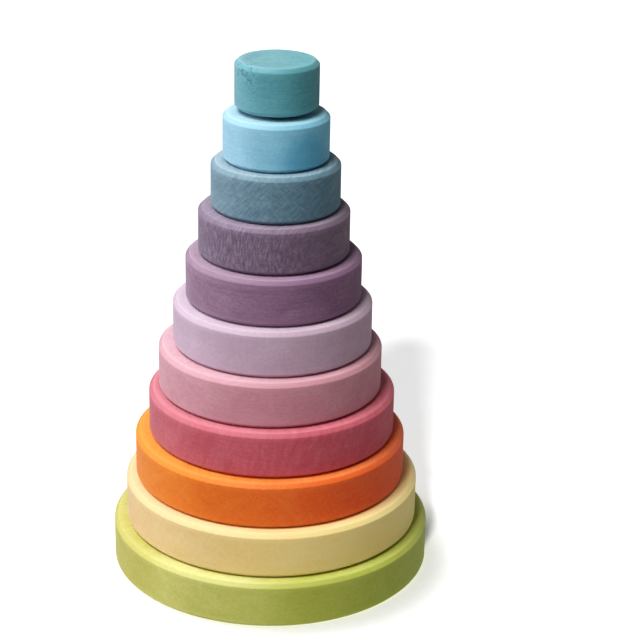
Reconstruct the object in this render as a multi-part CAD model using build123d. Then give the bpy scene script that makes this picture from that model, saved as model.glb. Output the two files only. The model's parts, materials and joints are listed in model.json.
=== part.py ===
from build123d import *
import os

# A wooden stacking tower. A round base holds a glued-in rod, nine loose rings of shrinking
# diameter drop over the rod, and a cap with a blind socket sits on the rod's end.
# Millimetres, +Z up, origin at the centre of the base's underside.

# The base, the rings and the cap are all cut from one thickness of board.
BOARD_THICKNESS = 23.5
BASE_DIAMETER = 160.0
CAP_DIAMETER = 40.5
RIM_CHAMFER = 2.0
HOLE_CHAMFER = 0.8

# The rod, and the holes that it enters. The rings and the cap drop over it with room to spare.
ROD_DIAMETER = 18.0
ROD_END_RADIUS = 2.0
ROD_FOOT_CHAMFER = 1.0
ROD_SEAT_DEPTH = 15.0
GLUE_GAP = 0.05
LOOSE_PLAY = 1.5
SOCKET_DEPTH = 14.0

# The rod's end meets the socket's floor before the cap meets the top ring, which leaves this gap.
CAP_GAP = 2.0

# The loose rings from the bottom up: name, outside diameter, and how far along X the ring
# lies off the rod's axis. Each shift is less than the play of the hole on the rod.
RINGS = [
    ("cream_ring", 147.5, 0.3),
    ("orange_ring", 135.5, -0.7),
    ("rose_ring", 123.0, 0.0),
    ("pink_ring", 111.0, -0.9),
    ("lilac_ring", 98.5, 0.1),
    ("mauve_ring", 86.5, 0.4),
    ("plum_ring", 74.0, 0.4),
    ("slate_ring", 63.0, 1.0),
    ("sky_ring", 51.5, 1.0),
]
CAP_SHIFT = 1.1

# Worked out from the dimensions above.
STACK_TOP = BOARD_THICKNESS * (1 + len(RINGS))
CAP_BOTTOM = STACK_TOP + CAP_GAP
ROD_BOTTOM = BOARD_THICKNESS - ROD_SEAT_DEPTH
ROD_LENGTH = CAP_BOTTOM + SOCKET_DEPTH - ROD_BOTTOM
LOOSE_HOLE_DIAMETER = ROD_DIAMETER + 2 * LOOSE_PLAY
ON_ITS_BOTTOM = (Align.CENTER, Align.CENTER, Align.MIN)


def lowest_edge(solid):
    return solid.edges().sort_by(Axis.Z)[0]


def highest_edge(solid):
    return solid.edges().sort_by(Axis.Z)[-1]


def turned_disc(diameter):
    """A disc on Z = 0 with both of its rims chamfered."""
    disc = Cylinder(diameter / 2, BOARD_THICKNESS, align=ON_ITS_BOTTOM)
    disc = chamfer(highest_edge(disc), RIM_CHAMFER)
    return chamfer(lowest_edge(disc), RIM_CHAMFER)


def hole_mouth(diameter):
    """A cutter centred on Z = 0 that eases the edge of a hole in either direction."""
    cone = Cone(
        diameter / 2,
        diameter / 2 + HOLE_CHAMFER,
        HOLE_CHAMFER,
        align=ON_ITS_BOTTOM,
    )
    return Pos(0, 0, -HOLE_CHAMFER) * cone


def base_disc():
    """The base, with a blind hole in its top for the rod's foot."""
    hole_diameter = ROD_DIAMETER + 2 * GLUE_GAP
    hole = Cylinder(hole_diameter / 2, ROD_SEAT_DEPTH, align=ON_ITS_BOTTOM)
    disc = turned_disc(BASE_DIAMETER)
    disc -= Pos(0, 0, ROD_BOTTOM) * hole
    return disc - Pos(0, 0, BOARD_THICKNESS) * hole_mouth(hole_diameter)


def centre_rod():
    """The rod, rounded over at its top and chamfered at its foot."""
    rod = Cylinder(ROD_DIAMETER / 2, ROD_LENGTH, align=ON_ITS_BOTTOM)
    rod = fillet(highest_edge(rod), ROD_END_RADIUS)
    rod = chamfer(lowest_edge(rod), ROD_FOOT_CHAMFER)
    return Pos(0, 0, ROD_BOTTOM) * rod


def loose_ring(diameter):
    """A ring on Z = 0 with a through hole, eased at both of its mouths."""
    mouth = hole_mouth(LOOSE_HOLE_DIAMETER)
    ring = turned_disc(diameter)
    ring -= Cylinder(LOOSE_HOLE_DIAMETER / 2, BOARD_THICKNESS, align=ON_ITS_BOTTOM)
    ring -= Pos(0, 0, BOARD_THICKNESS) * mouth
    return ring - mirror(mouth, Plane.XY)


def top_cap():
    """The cap, closed on top, with a blind socket in its underside for the rod's end."""
    cap = turned_disc(CAP_DIAMETER)
    cap -= Cylinder(LOOSE_HOLE_DIAMETER / 2, SOCKET_DEPTH, align=ON_ITS_BOTTOM)
    cap -= mirror(hole_mouth(LOOSE_HOLE_DIAMETER), Plane.XY)
    return Pos(CAP_SHIFT, 0, CAP_BOTTOM) * cap


pieces = {
    "base_disc": base_disc(),
    "centre_rod": centre_rod(),
    "top_cap": top_cap(),
}
for level, (name, diameter, shift) in enumerate(RINGS, start=1):
    pieces[name] = Pos(shift, 0, level * BOARD_THICKNESS) * loose_ring(diameter)

os.makedirs("parts", exist_ok=True)
for name, piece in pieces.items():
    export_step(piece, f"parts/{name}.step")
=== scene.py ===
import json
import math
import random

import bpy
from mathutils import Matrix, Vector


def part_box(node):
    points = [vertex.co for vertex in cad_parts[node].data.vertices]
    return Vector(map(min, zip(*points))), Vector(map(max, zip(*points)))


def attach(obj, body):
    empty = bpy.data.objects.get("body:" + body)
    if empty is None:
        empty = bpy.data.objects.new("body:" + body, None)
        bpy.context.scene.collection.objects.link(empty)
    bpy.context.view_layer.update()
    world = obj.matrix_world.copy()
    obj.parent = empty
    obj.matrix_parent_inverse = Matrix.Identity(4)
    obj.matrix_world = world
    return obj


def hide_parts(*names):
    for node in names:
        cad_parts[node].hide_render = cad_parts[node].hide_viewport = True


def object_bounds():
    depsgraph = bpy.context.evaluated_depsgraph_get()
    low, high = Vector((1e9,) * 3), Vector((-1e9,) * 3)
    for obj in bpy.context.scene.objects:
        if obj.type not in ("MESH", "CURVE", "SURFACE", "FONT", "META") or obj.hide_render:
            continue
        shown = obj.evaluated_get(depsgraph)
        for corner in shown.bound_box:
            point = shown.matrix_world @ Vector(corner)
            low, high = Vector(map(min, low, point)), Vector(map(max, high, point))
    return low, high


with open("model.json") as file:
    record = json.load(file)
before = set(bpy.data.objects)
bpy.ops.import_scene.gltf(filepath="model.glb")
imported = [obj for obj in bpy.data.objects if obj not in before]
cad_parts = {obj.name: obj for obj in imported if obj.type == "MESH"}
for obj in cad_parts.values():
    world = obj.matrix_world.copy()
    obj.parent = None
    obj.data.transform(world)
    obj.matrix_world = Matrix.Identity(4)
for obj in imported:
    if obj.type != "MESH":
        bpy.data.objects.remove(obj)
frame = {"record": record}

CAD_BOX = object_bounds()

MM = 0.001

# The turned discs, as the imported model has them.
RIM_CHAMFER = 2.0 * MM
HOLE_CHAMFER = 0.8 * MM
LOOSE_HOLE_RADIUS = 10.5 * MM
ROD_SEAT_RADIUS = 9.05 * MM
ROD_SEAT_DEPTH = 15.0 * MM
SOCKET_DEPTH = 14.0 * MM
ROD_FOOT_CHAMFER = 1.0 * MM
ROD_END_RADIUS = 2.0 * MM

# How far the sanded corners are rounded over. The level faces' rims were sanded the most.
FACE_ROUNDING = 1.5 * MM
WALL_ROUNDING = 0.7 * MM
HOLE_ROUNDING = 0.3 * MM
ARC_STEPS = 4

# The hand sanding's wander: its depth, the waves that it has round the disc, how fast a wave's
# phase changes with height (radians per metre), and the outer band of radius that it reaches.
SANDING_DEPTH = 0.12 * MM
SANDING_CYCLES = (2, 3, 5, 8, 13)
SANDING_TWIST = 40
SANDED_BAND = 1.5 * RIM_CHAMFER

# The mesh's grid: steps round the axis, and the longest step along the outline. A point closer
# to the axis than ON_AXIS lies on it.
TURNS = 240
OUTLINE_STEP = 2.4 * MM
ON_AXIS = 1e-7

# How much paler than a wall a level face is (in part less stain, in part a painted highlight on
# the lit top faces), how much less stain a worn corner holds, and how much more a knock.
FACE_PALENESS_AND_HIGHLIGHT = 0.3
WORN_PALENESS = 0.2
SCUFF_STAIN = 0.45

# Where a surface starts to count as end grain and as level, as the cosine of its turn away.
END_GRAIN_FROM = 0.3
LEVEL_FROM = 0.6

# The part of the growth rings' strength that shows on end grain alone.
END_GRAIN_SHARE = 0.6

# The values of noise between which a worn corner and a knock go from none to full, and the part
# of a place's reach that is at full strength.
WORN_FROM_TO = (-0.25, 0.35)
SCUFF_FROM_TO = (0.05, 0.14)
FULL_REACH = 0.4

# How fine the wood's patterns are, in cycles per millimetre.
WARP_SCALE = (0.06, 0.06, 0.06)
RING_SCALE_ALONG = 0.03
RAY_SCALE_ROUND = 1.3
RAY_SCALE_ALONG = 0.3
FIBRE_SCALE_ALONG = 0.06
FIBRE_SCALE_ACROSS = 1.1
BLOTCH_SCALE = (0.045, 0.045, 0.07)
PORE_SCALE = (0.55, 0.55, 0.75)
SCUFF_SCALE = (0.4, 0.4, 0.6)
MARK_SCALE = 1.2
MARK_SCALE_SIDEWAYS = 0.02

# How far each disc's seed moves its patterns, so that no two discs look the same.
SEED_SHIFT = 37.0
MARK_SEED_SHIFT = 11.0

# How far each pattern stands out of the surface, as parts of the bump's distance.
RELIEF = {"rings": -0.5, "fibres": -0.9, "rays": -0.7, "pores": -0.8, "marks": 0.6}
BUMP_STRENGTH = 0.5
BUMP_DISTANCE = 0.15 * MM

# The surface's gloss.
ROUGHNESS = 0.62
ROUGHNESS_CHANGE = 0.12
SPECULAR_LEVEL = 0.5
SHEEN = 0.1
SHEEN_ROUGHNESS = 0.5

# The camera stands in front, a little above the tower, and looks down past its right side.
CAMERA_PLACE = (0.0, -0.900, 0.492)
CAMERA_PITCH = math.radians(22.0)
CAMERA_YAW = math.radians(-1.5)
CAMERA_ROLL = math.radians(1.1)
CAMERA_LENS = 110.2
CAMERA_SENSOR = 36.0

# The floor. Its glow is dimmed near the base as painted shade, most where CONTACT_SIDE faces
# the base.
FLOOR_HALF_SIZE = 6.0
FLOOR_WHITE = (0.8, 0.8, 0.8, 1)
FLOOR_ROUGHNESS = 0.9
FLOOR_SPECULAR_LEVEL = 0.1
FLOOR_GLOW = 0.50
CONTACT_SHADE = 0.9
CONTACT_REACH = 29.0 * MM
CONTACT_SIDE = (-0.6, 0.36, 0.71)
CONTACT_DARKEST = 0.35
WORLD_STRENGTH = 0.07

# The lamps: name, azimuth, elevation (degrees), distance, diameter (metres), watts. The soft
# lamps leave the floor alone, and the shadow lamp lights nothing else.
SOFT_LAMPS = [
    ("key", -48, 63, 3.2, 1.8, 72.0),
    ("left_fill", -110, 15, 1.6, 0.4, 8.0),
    ("right_rim", 130, 15, 1.6, 0.4, 2.2),
    ("backdrop", 180, 14, 1.9, 1.4, 1.2),
    ("front", -17, 42, 1.6, 0.3, 3.1),
]
SHADOW_LAMP = ("floor_front", -17.8, 43.0, 4.0, 0.4, 114.0)


# ---------------------------------------------------------------- meshes


def arc_points(before, corner, after, rounding):
    """The points that round off one corner of an outline."""
    to_before = (before - corner).normalized()
    to_after = (after - corner).normalized()
    half = to_before.angle(to_after) / 2
    reach = rounding / math.tan(half)
    middle = corner + (to_before + to_after).normalized() * (rounding / math.sin(half))
    first = (corner + to_before * reach - middle).normalized()
    last = (corner + to_after * reach - middle).normalized()
    return [middle + first.slerp(last, i / ARC_STEPS) * rounding for i in range(ARC_STEPS + 1)]


def outline(corners, closed):
    """Points (radius, height) and their edge wear, from corners (radius, height, rounding)."""
    places = [Vector(c[:2]) for c in corners]
    count = len(places)
    points = []
    for i, place in enumerate(places):
        rounding = corners[i][2]
        at_end = not closed and i in (0, count - 1)
        if rounding and not at_end:
            arc = arc_points(places[i - 1], place, places[(i + 1) % count], rounding)
            points += [(p, 1.0) for p in arc]
        else:
            points.append((place, 0.0))
    runs = list(zip(points, points[1:] + points[:1]))
    if not closed:
        runs = runs[:-1]
    dense = []
    for (a, wear_a), (b, wear_b) in runs:
        steps = max(1, math.ceil((b - a).length / OUTLINE_STEP))
        dense.append((a, wear_a))
        dense += [(a.lerp(b, s / steps), 0.0) for s in range(1, steps)]
    if not closed:
        dense.append(points[-1])
    return dense


def ring_corners(radius, height):
    """Outline corners of a ring with a through hole."""
    c, h, hole = RIM_CHAMFER, HOLE_CHAMFER, LOOSE_HOLE_RADIUS
    return [
        (hole + h, 0, HOLE_ROUNDING),
        (radius - c, 0, FACE_ROUNDING),
        (radius, c, WALL_ROUNDING),
        (radius, height - c, WALL_ROUNDING),
        (radius - c, height, FACE_ROUNDING),
        (hole + h, height, HOLE_ROUNDING),
        (hole, height - h, HOLE_ROUNDING),
        (hole, h, HOLE_ROUNDING),
    ]


def base_corners(radius, height):
    """Outline corners of the base, from the axis below to the axis in the rod's hole."""
    c, h, hole = RIM_CHAMFER, HOLE_CHAMFER, ROD_SEAT_RADIUS
    floor = height - ROD_SEAT_DEPTH
    return [
        (0, 0, 0),
        (radius - c, 0, FACE_ROUNDING),
        (radius, c, WALL_ROUNDING),
        (radius, height - c, WALL_ROUNDING),
        (radius - c, height, FACE_ROUNDING),
        (hole + h, height, HOLE_ROUNDING),
        (hole, height - h, HOLE_ROUNDING),
        (hole, floor, 0),
        (0, floor, 0),
    ]


def cap_corners(radius, height):
    """Outline corners of the cap, from the axis in its socket to the axis on top."""
    c, h, hole = RIM_CHAMFER, HOLE_CHAMFER, LOOSE_HOLE_RADIUS
    return [
        (0, SOCKET_DEPTH, 0),
        (hole, SOCKET_DEPTH, 0),
        (hole, h, HOLE_ROUNDING),
        (hole + h, 0, HOLE_ROUNDING),
        (radius - c, 0, FACE_ROUNDING),
        (radius, c, WALL_ROUNDING),
        (radius, height - c, WALL_ROUNDING),
        (radius - c, height, FACE_ROUNDING),
        (0, height, 0),
    ]


def rod_corners(radius, height):
    """Outline corners of the rod."""
    foot = ROD_FOOT_CHAMFER
    return [
        (0, 0, 0),
        (radius - foot, 0, HOLE_ROUNDING),
        (radius, foot, HOLE_ROUNDING),
        (radius, height, ROD_END_RADIUS),
        (0, height, 0),
    ]


def hand_sanding(seed):
    """A small, smooth wander of the radius round the disc, different for the wall and each rim."""
    dice = random.Random(seed)
    waves = [
        (cycles, dice.uniform(0, math.tau), dice.uniform(0, math.tau), dice.uniform(-1, 1))
        for cycles in SANDING_CYCLES
    ]

    def wander(angle, height):
        total = 0.0
        for cycles, phase, twist, size in waves:
            turn = cycles * angle + phase + twist * height * SANDING_TWIST
            total += size / cycles * math.sin(turn)
        return total

    return wander


def lathe_rows(profile, wander, sanding, place):
    """The mesh's points with their edge wear, and each outline point's row of indices."""
    outer = max(point.x for point, _ in profile)
    verts, edge_wear, rows = [], [], []
    for point, wear in profile:
        turns = 1 if point.x < ON_AXIS else TURNS
        row = []
        for t in range(turns):
            angle = math.tau * t / TURNS
            radius = point.x
            if radius > outer - SANDED_BAND:
                radius -= sanding * (1 + wander(angle, point.y)) / 2
            spot = (radius * math.cos(angle), radius * math.sin(angle), point.y)
            row.append(len(verts))
            verts.append(Vector(spot) + place)
            edge_wear.append(wear)
        rows.append(row)
    return verts, edge_wear, rows


def faces_between(low, high):
    """The faces that join two neighbouring rows; a row on the axis is a single point."""
    faces = []
    for t in range(TURNS):
        n = (t + 1) % TURNS
        if len(low) == 1:
            faces.append((low[0], high[n], high[t]))
        elif len(high) == 1:
            faces.append((low[t], low[n], high[0]))
        else:
            faces.append((low[t], low[n], high[n], high[t]))
    return faces


def turned(name, corners, closed, place, sanding, seed):
    """A lathed mesh whose axis stands at place, given in the row frame."""
    profile = outline(corners, closed)
    verts, edge_wear, rows = lathe_rows(profile, hand_sanding(seed), sanding, place)
    pairs = list(zip(rows, rows[1:]))
    if closed:
        pairs.append((rows[-1], rows[0]))
    faces = [face for low, high in pairs for face in faces_between(low, high)]
    mesh = bpy.data.meshes.new(name)
    mesh.from_pydata(verts, [], faces)
    wear_layer = mesh.attributes.new("edge_wear", "FLOAT", "POINT")
    wear_layer.data.foreach_set("value", edge_wear)
    mesh.shade_smooth()
    mesh.validate()
    piece = bpy.data.objects.new(name, mesh)
    bpy.context.scene.collection.objects.link(piece)
    return piece


# ---------------------------------------------------------------- materials


class Nodes:
    """Short ways to add and join the nodes of one material."""

    def __init__(self, tree):
        self.tree = tree

    def add(self, kind, inputs=(), **settings):
        node = self.tree.nodes.new(kind)
        for key, value in settings.items():
            setattr(node, key, value)
        for key, value in dict(inputs).items():
            self.feed(node.inputs[key], value)
        return node

    def feed(self, socket, value):
        if isinstance(value, bpy.types.NodeSocket):
            self.tree.links.new(value, socket)
        else:
            socket.default_value = value

    def math(self, operation, *values):
        node = self.add("ShaderNodeMath", operation=operation)
        for socket, value in zip(node.inputs, values):
            self.feed(socket, value)
        return node.outputs[0]

    def vector(self, operation, *values):
        node = self.add("ShaderNodeVectorMath", operation=operation)
        for socket, value in zip(node.inputs, values):
            self.feed(socket, value)
        return node.outputs[0]

    def join(self, x, y, z):
        return self.add("ShaderNodeCombineXYZ", {"X": x, "Y": y, "Z": z}).outputs[0]

    def noise(self, where, detail, roughness, distortion=0.0):
        """Noise with a mean of 0, about -0.5 to 0.5; the vector carries the scale."""
        inputs = {
            "Vector": where,
            "Scale": 1.0,
            "Detail": detail,
            "Roughness": roughness,
            "Distortion": distortion,
        }
        node = self.add("ShaderNodeTexNoise", inputs)
        return self.math("SUBTRACT", node.outputs[0], 0.5)

    def step(self, value, low, high):
        """Goes smoothly from 0 at low to 1 at high."""
        inputs = {"Value": value, "From Min": low, "From Max": high}
        node = self.add("ShaderNodeMapRange", inputs, interpolation_type="SMOOTHSTEP")
        return node.outputs[0]

    def mix(self, factor, a, b):
        node = self.add("ShaderNodeMix", data_type="RGBA")
        self.feed(node.inputs["Factor"], factor)
        self.feed(node.inputs["A"], a)
        self.feed(node.inputs["B"], b)
        return node.outputs["Result"]

    def total(self, *values):
        result = values[0]
        for value in values[1:]:
            result = self.math("ADD", result, value)
        return result


def linear(colour):
    """An sRGB colour, each part above 10 and up to 255, as linear RGBA."""
    return tuple(((c / 255 + 0.055) / 1.055) ** 2.4 for c in colour) + (1.0,)


def grain_axes(n, centre, heading):
    """The place in millimetres from the middle of the disc's underside, plain and by the grain.

    The second has three parts: along the grain, across it and up.
    """
    coordinates = n.add("ShaderNodeTexCoord").outputs["Object"]
    local = n.vector("SUBTRACT", coordinates, tuple(centre))
    local = n.vector("MULTIPLY", local, (1 / MM,) * 3)
    turn = n.add("ShaderNodeVectorRotate", {"Vector": local}, rotation_type="Z_AXIS")
    turn.inputs["Angle"].default_value = -math.radians(heading)
    parts = n.add("ShaderNodeSeparateXYZ", {"Vector": turn.outputs[0]}).outputs
    return local, parts


def facings(n, heading):
    """How squarely the surface faces along the grain, and how level it lies, both 0 to 1."""
    normal = n.add("ShaderNodeNewGeometry").outputs["Normal"]
    heading = math.radians(heading)
    dot = n.add("ShaderNodeVectorMath", operation="DOT_PRODUCT")
    n.feed(dot.inputs[0], normal)
    n.feed(dot.inputs[1], (math.cos(heading), math.sin(heading), 0))
    end_grain = n.step(n.math("ABSOLUTE", dot.outputs["Value"]), END_GRAIN_FROM, 1.0)
    rise = n.add("ShaderNodeSeparateXYZ", {"Vector": normal}).outputs["Z"]
    level = n.step(n.math("ABSOLUTE", rise), LEVEL_FROM, 1.0)
    return end_grain, level


def growth(n, look, local, grain):
    """Growth rings at their distance from the pith, and rays straight out from it."""
    along, across, up = grain
    shift = look["seed"] * SEED_SHIFT
    warp_place = n.vector("MULTIPLY_ADD", local, WARP_SCALE, (shift, shift, 0))
    warp = n.add("ShaderNodeTexNoise", {"Vector": warp_place, "Scale": 1.0, "Detail": 2.0})
    warp = n.add("ShaderNodeSeparateColor", {"Color": warp.outputs["Color"]}).outputs
    sway = n.math("MULTIPLY", n.math("SUBTRACT", warp[0], 0.5), look["waviness"])
    heave = n.math("MULTIPLY", n.math("SUBTRACT", warp[1], 0.5), look["waviness"])

    pith_across, pith_up = look["pith"]
    sideways = n.math("ADD", n.math("SUBTRACT", across, pith_across), sway)
    upward = n.math("ADD", n.math("SUBTRACT", up, pith_up), heave)
    squares = n.math("MULTIPLY_ADD", upward, upward, n.math("MULTIPLY", sideways, sideways))
    distance = n.math("SQRT", squares)
    angle = n.math("ARCTAN2", upward, sideways)
    arc = n.math("MULTIPLY", angle, math.hypot(pith_across, pith_up))

    ring_place = n.join(
        n.math("DIVIDE", distance, look["ring_width"]),
        n.math("MULTIPLY_ADD", arc, look["broken"], shift),
        n.math("MULTIPLY", along, RING_SCALE_ALONG),
    )
    ray_place = n.join(
        n.math("MULTIPLY_ADD", arc, RAY_SCALE_ROUND, shift),
        n.math("MULTIPLY", distance, look["broken"]),
        n.math("MULTIPLY", along, RAY_SCALE_ALONG),
    )
    rings = n.noise(ring_place, detail=2.0, roughness=0.6)
    rays = n.noise(ray_place, detail=2.0, roughness=0.6)
    return rings, rays


def tool_marks(n, look, local):
    """Faint lines that the lathe left round the wall and the faces."""
    x, y, z = n.add("ShaderNodeSeparateXYZ", {"Vector": local}).outputs
    out = n.math("SQRT", n.math("MULTIPLY_ADD", x, x, n.math("MULTIPLY", y, y)))
    place = n.join(
        n.math("MULTIPLY_ADD", out, MARK_SCALE, look["seed"] * MARK_SEED_SHIFT),
        n.math("MULTIPLY", z, MARK_SCALE),
        n.math("MULTIPLY", n.math("ADD", x, y), MARK_SCALE_SIDEWAYS),
    )
    return n.noise(place, detail=3.0, roughness=0.6)


def patterns(n, look, local, grain, end_grain):
    """All of the wood's patterns, each about -0.5 to 0.5."""
    along, across, up = grain
    shift = look["seed"] * SEED_SHIFT
    rings, rays = growth(n, look, local, grain)
    fibre_place = n.join(
        n.math("MULTIPLY_ADD", along, FIBRE_SCALE_ALONG, shift),
        n.math("MULTIPLY", across, FIBRE_SCALE_ACROSS),
        n.math("MULTIPLY", up, FIBRE_SCALE_ACROSS),
    )
    blotch_place = n.vector("MULTIPLY_ADD", local, BLOTCH_SCALE, (shift, 0, 0))
    pore_place = n.vector("MULTIPLY_ADD", local, PORE_SCALE, (0, shift, 0))
    return {
        "rings": rings,
        "rays": n.math("MULTIPLY", rays, end_grain),
        "fibres": n.noise(fibre_place, detail=3.0, roughness=0.65),
        "blotches": n.noise(blotch_place, detail=4.0, roughness=0.6, distortion=0.5),
        "pores": n.noise(pore_place, detail=3.0, roughness=0.75),
        "marks": tool_marks(n, look, local),
    }


def worn_corners(n, parts):
    """1 where a corner has rubbed bare, in patches."""
    edge_wear = n.add("ShaderNodeAttribute", attribute_name="edge_wear").outputs["Fac"]
    patches = n.step(n.total(parts["blotches"], parts["pores"]), *WORN_FROM_TO)
    return n.math("MULTIPLY", edge_wear, patches)


def nearness(n, local, place, reach):
    """1 close to a place, in millimetres from the underside's middle, and 0 beyond its reach."""
    gap = n.add("ShaderNodeVectorMath", operation="LENGTH")
    n.feed(gap.inputs[0], n.vector("SUBTRACT", local, place))
    away = n.step(gap.outputs["Value"], reach * FULL_REACH, reach)
    return n.math("SUBTRACT", 1.0, away)


def scuffs(n, local, place, reach):
    """Small dark knocks round one place."""
    fleck_place = n.vector("MULTIPLY", local, SCUFF_SCALE)
    flecks = n.step(n.noise(fleck_place, detail=3.0, roughness=0.7), *SCUFF_FROM_TO)
    return n.math("MULTIPLY", nearness(n, local, place, reach), flecks)


def stain_thickness_with_painted_light(n, look, local, parts, end_grain, level):
    """How thick the stain lies: 1 on an average wall. Painted light goes in too: the level faces'
    partly painted highlight and the painted patches.
    """
    on_ends = END_GRAIN_SHARE * look["rings"]
    ring_strength = n.math("MULTIPLY_ADD", end_grain, on_ends, look["rings"] - on_ends)
    thickness = n.total(
        1.0,
        # Paler level faces: in part less stain, in part a painted highlight on the lit top faces.
        n.math("MULTIPLY", level, -look["face_paleness"]),
        n.math("MULTIPLY", worn_corners(n, parts), -WORN_PALENESS),
        n.math("MULTIPLY", parts["rings"], ring_strength),
        n.math("MULTIPLY", parts["rays"], look["rays"]),
        n.math("MULTIPLY", parts["fibres"], look["fibres"]),
        n.math("MULTIPLY", parts["blotches"], look["blotches"]),
        n.math("MULTIPLY", parts["pores"], look["pores"]),
        n.math("MULTIPLY", parts["marks"], look["marks"]),
    )
    # The painted light patch adds stain round one place as painted shade; with a value below 0 it
    # takes stain away as a painted highlight.
    if look["patch"]:
        place, reach, extra = look["patch"]
        near = nearness(n, local, place, reach)
        thickness = n.math("MULTIPLY_ADD", near, extra, thickness)
    return thickness


def stain_colour_with_painted_light(n, look, local, thickness):
    """The stain's colour at its thickness, from a tone that drifts from the disc's left to its
    right: the drift is painted light and shade.
    """
    sideways = n.add("ShaderNodeSeparateXYZ", {"Vector": local}).outputs["X"]
    # Painted light and shade: the tone goes from the left value to the right one across the disc.
    painted_light_drift = n.math("MULTIPLY_ADD", sideways, 0.5 * MM / look["radius"], 0.5)
    stain = n.mix(painted_light_drift, linear(look["left"]), linear(look["right"]))
    # Light passes the stain twice, so its colour goes by the power of its thickness.
    return n.add("ShaderNodeGamma", {"Color": stain, "Gamma": thickness}).outputs[0]


def stained_wood(name, centre, look):
    """Stained, unvarnished wood with its growth rings, rays, fibres, pores and soft blotches, and
    with painted light and shade: a tone drifting from left to right, a partly painted highlight
    on the level faces, and painted patches.

    The grain runs level, towards the heading. The pith is given in millimetres from the middle
    of the underside, across the grain and up. All patterns are solid, so the wall shows end
    grain where it faces along the heading, and long grain beside it.
    """
    material = bpy.data.materials.new(name)
    material.use_nodes = True
    tree = material.node_tree
    tree.nodes.clear()
    n = Nodes(tree)

    local, grain = grain_axes(n, centre, look["heading"])
    end_grain, level = facings(n, look["heading"])
    parts = patterns(n, look, local, grain, end_grain)
    thickness = stain_thickness_with_painted_light(n, look, local, parts, end_grain, level)
    relief = n.total(*(n.math("MULTIPLY", parts[key], depth) for key, depth in RELIEF.items()))
    if look["scuffs"]:
        knocks = scuffs(n, local, *look["scuffs"])
        thickness = n.math("MULTIPLY_ADD", knocks, SCUFF_STAIN, thickness)
        relief = n.math("SUBTRACT", relief, knocks)

    bump = n.add("ShaderNodeBump", {"Height": relief})
    bump.inputs["Strength"].default_value = BUMP_STRENGTH
    bump.inputs["Distance"].default_value = BUMP_DISTANCE
    fine = n.total(parts["fibres"], parts["pores"])

    shader = n.add("ShaderNodeBsdfPrincipled")
    n.feed(shader.inputs["Base Color"], stain_colour_with_painted_light(n, look, local, thickness))
    n.feed(shader.inputs["Roughness"], n.math("MULTIPLY_ADD", fine, ROUGHNESS_CHANGE, ROUGHNESS))
    n.feed(shader.inputs["Normal"], bump.outputs[0])
    shader.inputs["Specular IOR Level"].default_value = SPECULAR_LEVEL
    shader.inputs["Sheen Weight"].default_value = SHEEN
    shader.inputs["Sheen Roughness"].default_value = SHEEN_ROUGHNESS
    output = n.add("ShaderNodeOutputMaterial")
    tree.links.new(shader.outputs[0], output.inputs["Surface"])
    return material


def look(slot, left, right, heading, pith, **changes):
    """One disc's wood: its tone at either side, whose difference is painted light and shade, its
    grain's heading and its pith.

    Of the changes, ring_width and waviness are in millimetres, broken says how short the streaks
    are, and rings to marks say how strongly each pattern takes up stain. scuffs is a place and
    a reach, and the painted light patch is a place, a reach and how much stain it adds there as
    painted shade; below 0 it takes stain away as a painted highlight.
    """
    values = {
        "slot": slot,
        "left": left,
        "right": right,
        "heading": heading,
        "pith": pith,
        "ring_width": 1.3,
        "waviness": 4.0,
        "broken": 0.08,
        "rings": 0.2,
        "rays": 0.15,
        "fibres": 0.22,
        "blotches": 0.42,
        "pores": 0.36,
        "marks": 0.12,
        "face_paleness": FACE_PALENESS_AND_HIGHLIGHT,
        "scuffs": None,
        "patch": None,
    }
    values.update(changes)
    return values


# Each disc's tone goes from its left value to its right one; the difference is painted light and
# shade.
LOOKS = {
    "base_disc": look(
        "lime_stain", (185, 179, 98), (188, 199, 90), 20, (40, -70),
        # The patch at the base's front left is a painted highlight.
        face_paleness=0.23, patch=((-32.0, -73.0, 8.0), 50.0, -0.22),
    ),
    "cream_ring": look(
        "cream_stain", (220, 192, 146), (254, 234, 157), -110, (70, -30), face_paleness=0.22,
    ),
    "orange_ring": look("orange_stain", (221, 136, 41), (244, 103, 48), -90, (60, -60), rays=0.3),
    "rose_ring": look(
        "rose_stain", (187, 105, 117), (210, 100, 114), -80, (80, -10),
        ring_width=2.5, rings=0.35,
    ),
    "pink_ring": look("pink_stain", (198, 152, 163), (206, 146, 157), 0, (50, -80)),
    "lilac_ring": look("lilac_stain", (191, 170, 187), (196, 169, 185), -70, (90, 10)),
    "mauve_ring": look("mauve_stain", (150, 124, 146), (141, 105, 133), 5, (40, -90), marks=0.3),
    "plum_ring": look(
        "plum_stain", (128, 112, 133), (131, 111, 129), -125, (100, 5),
        ring_width=0.85, rings=1.0, waviness=2.5, broken=0.18, blotches=0.3,
    ),
    "slate_ring": look(
        "slate_stain", (122, 147, 161), (102, 136, 151), -90, (70, -60),
        ring_width=0.9, rings=0.65, rays=0.4, waviness=3.0, broken=0.18, blotches=0.25,
        face_paleness=0.38,
    ),
    "sky_ring": look(
        "sky_stain", (157, 194, 212), (125, 192, 214), -60, (90, -40),
        # The patch low at the sky ring's front right is painted shade.
        marks=0.25, face_paleness=0.37, patch=((15.0, -20.0, 5.0), 17.0, 0.3),
    ),
    "top_cap": look(
        "teal_stain", (112, 163, 174), (90, 158, 165), 0, (50, -70),
        marks=0.2, scuffs=((-15.0, -13.0, 20.0), 10.0),
    ),
    "centre_rod": look("natural_wood", (222, 194, 152), (222, 194, 152), 0, (60, -40)),
}


# The outlines that start and end on the axis. A ring's outline is closed, because its hole runs
# right through.
OUTLINES = {"base_disc": base_corners, "top_cap": cap_corners, "centre_rod": rod_corners}


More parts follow.
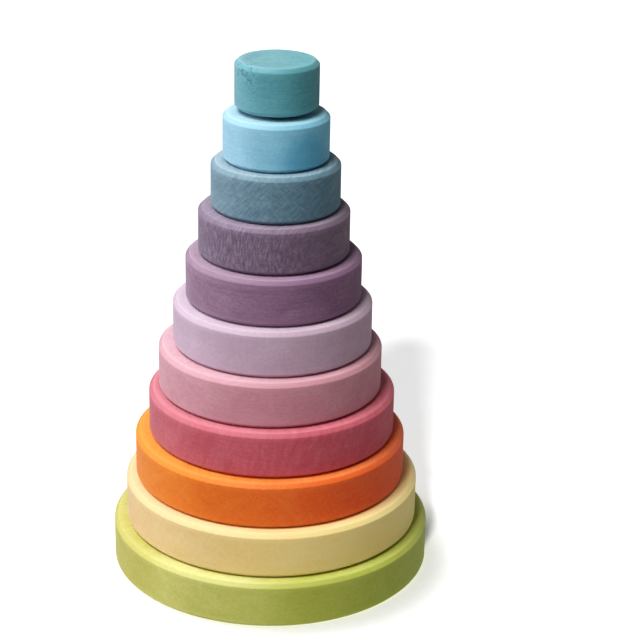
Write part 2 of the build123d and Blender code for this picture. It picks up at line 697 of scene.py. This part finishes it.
def add_piece(node, body, seed):
    """Builds the turned piece that stands for a CAD node."""
    low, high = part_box(node)
    place = Vector(((low.x + high.x) / 2, (low.y + high.y) / 2, low.z))
    radius = (high.x - low.x) / 2
    corners = OUTLINES.get(node, ring_corners)(radius, high.z - low.z)
    closed = node not in OUTLINES
    sanding = 0.0 if node == "centre_rod" else SANDING_DEPTH
    piece = turned("turned_" + node, corners, closed, place, sanding, seed)
    values = dict(LOOKS[node], radius=radius, seed=seed)
    piece.data.materials.append(stained_wood(values["slot"], place, values))
    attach(piece, body)
    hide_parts(node)


bodies = {}
for body, nodes in frame["record"]["behaviour"]["bodies"].items():
    for node in nodes:
        bodies[node] = body
for seed, node in enumerate(LOOKS, start=1):
    add_piece(node, bodies[node], seed)


# ---------------------------------------------------------------- stage


def floor_glow(n):
    """The floor's glow, seen by the camera alone, with painted shade close in front and right of
    the base.
    """
    seen = n.add("ShaderNodeLightPath").outputs["Is Camera Ray"]
    sky = n.add("ShaderNodeAmbientOcclusion", {"Distance": CONTACT_REACH}, samples=8)
    n.feed(sky.inputs["Normal"], n.join(*CONTACT_SIDE))
    shade = n.math("SUBTRACT", 1.0, n.step(sky.outputs["AO"], CONTACT_DARKEST, 1.0))
    glow = n.math("MULTIPLY_ADD", shade, -CONTACT_SHADE * FLOOR_GLOW, FLOOR_GLOW)
    return n.math("MULTIPLY", seen, glow)


def add_floor():
    """A plain pale floor."""
    size = FLOOR_HALF_SIZE
    mesh = bpy.data.meshes.new("floor")
    corners = [(-size, -size, 0), (size, -size, 0), (size, size, 0), (-size, size, 0)]
    mesh.from_pydata(corners, [], [(0, 1, 2, 3)])
    floor = bpy.data.objects.new("floor", mesh)
    bpy.context.scene.collection.objects.link(floor)
    material = bpy.data.materials.new("pale_floor")
    material.use_nodes = True
    shader = material.node_tree.nodes["Principled BSDF"]
    shader.inputs["Base Color"].default_value = FLOOR_WHITE
    shader.inputs["Emission Color"].default_value = (1, 1, 1, 1)
    shader.inputs["Roughness"].default_value = FLOOR_ROUGHNESS
    shader.inputs["Specular IOR Level"].default_value = FLOOR_SPECULAR_LEVEL
    n = Nodes(material.node_tree)
    n.feed(shader.inputs["Emission Strength"], floor_glow(n))
    mesh.materials.append(material)
    return floor


def add_world():
    """Weak white light from all round; the camera sees it as white."""
    world = bpy.data.worlds.new("studio")
    world.use_nodes = True
    tree = world.node_tree
    background = tree.nodes["Background"]
    background.inputs["Color"].default_value = (1, 1, 1, 1)
    n = Nodes(tree)
    seen = n.add("ShaderNodeLightPath").outputs["Is Camera Ray"]
    tree.links.new(n.math("MAXIMUM", seen, WORLD_STRENGTH), background.inputs["Strength"])
    bpy.context.scene.world = world


def add_light(target, name, azimuth, elevation, distance, size, watts):
    """A round soft light; azimuth 0 is in front of the tower, and it grows to the right."""
    a, e = math.radians(azimuth), math.radians(elevation)
    away = Vector((math.sin(a) * math.cos(e), -math.cos(a) * math.cos(e), math.sin(e)))
    data = bpy.data.lights.new(name, "AREA")
    data.shape = "DISK"
    data.size = size
    data.energy = watts
    lamp = bpy.data.objects.new(name, data)
    lamp.location = target + away * distance
    lamp.rotation_mode = "QUATERNION"
    lamp.rotation_quaternion = away.to_track_quat("Z", "Y")
    bpy.context.scene.collection.objects.link(lamp)
    return lamp


def all_but(name, left_out):
    """A collection that stands for everything but one object, for the lamps' links."""
    collection = bpy.data.collections.new(name)
    collection.objects.link(left_out)
    collection.collection_objects[0].light_linking.link_state = "EXCLUDE"
    return collection


def add_lights(floor, base, target):
    """Soft lamps for the tower, and one for the floor that draws the rings' and cap's shadow."""
    not_floor = all_but("all_but_floor", floor)
    for lamp in SOFT_LAMPS:
        add_light(target, *lamp).light_linking.receiver_collection = not_floor
    shadow_lamp = add_light(target, *SHADOW_LAMP)
    only_floor = bpy.data.collections.new("floor_alone")
    only_floor.objects.link(floor)
    shadow_lamp.light_linking.receiver_collection = only_floor
    shadow_lamp.light_linking.blocker_collection = all_but("all_but_base", base)


def add_camera():
    """The camera at the photo's viewing angle."""
    data = bpy.data.cameras.new("camera")
    data.lens = CAMERA_LENS
    data.sensor_width = CAMERA_SENSOR
    camera = bpy.data.objects.new("camera", data)
    camera.matrix_world = (
        Matrix.Translation(CAMERA_PLACE)
        @ Matrix.Rotation(CAMERA_YAW, 4, "Z")
        @ Matrix.Rotation(math.pi / 2 - CAMERA_PITCH, 4, "X")
        @ Matrix.Rotation(CAMERA_ROLL, 4, "Z")
    )
    bpy.context.scene.collection.objects.link(camera)
    bpy.context.scene.camera = camera


middle = (CAD_BOX[0] + CAD_BOX[1]) / 2
add_lights(add_floor(), bpy.data.objects["turned_base_disc"], middle)
add_world()
add_camera()
bpy.context.scene.view_settings.view_transform = "Standard"
bpy.context.scene.view_settings.look = "High Contrast"
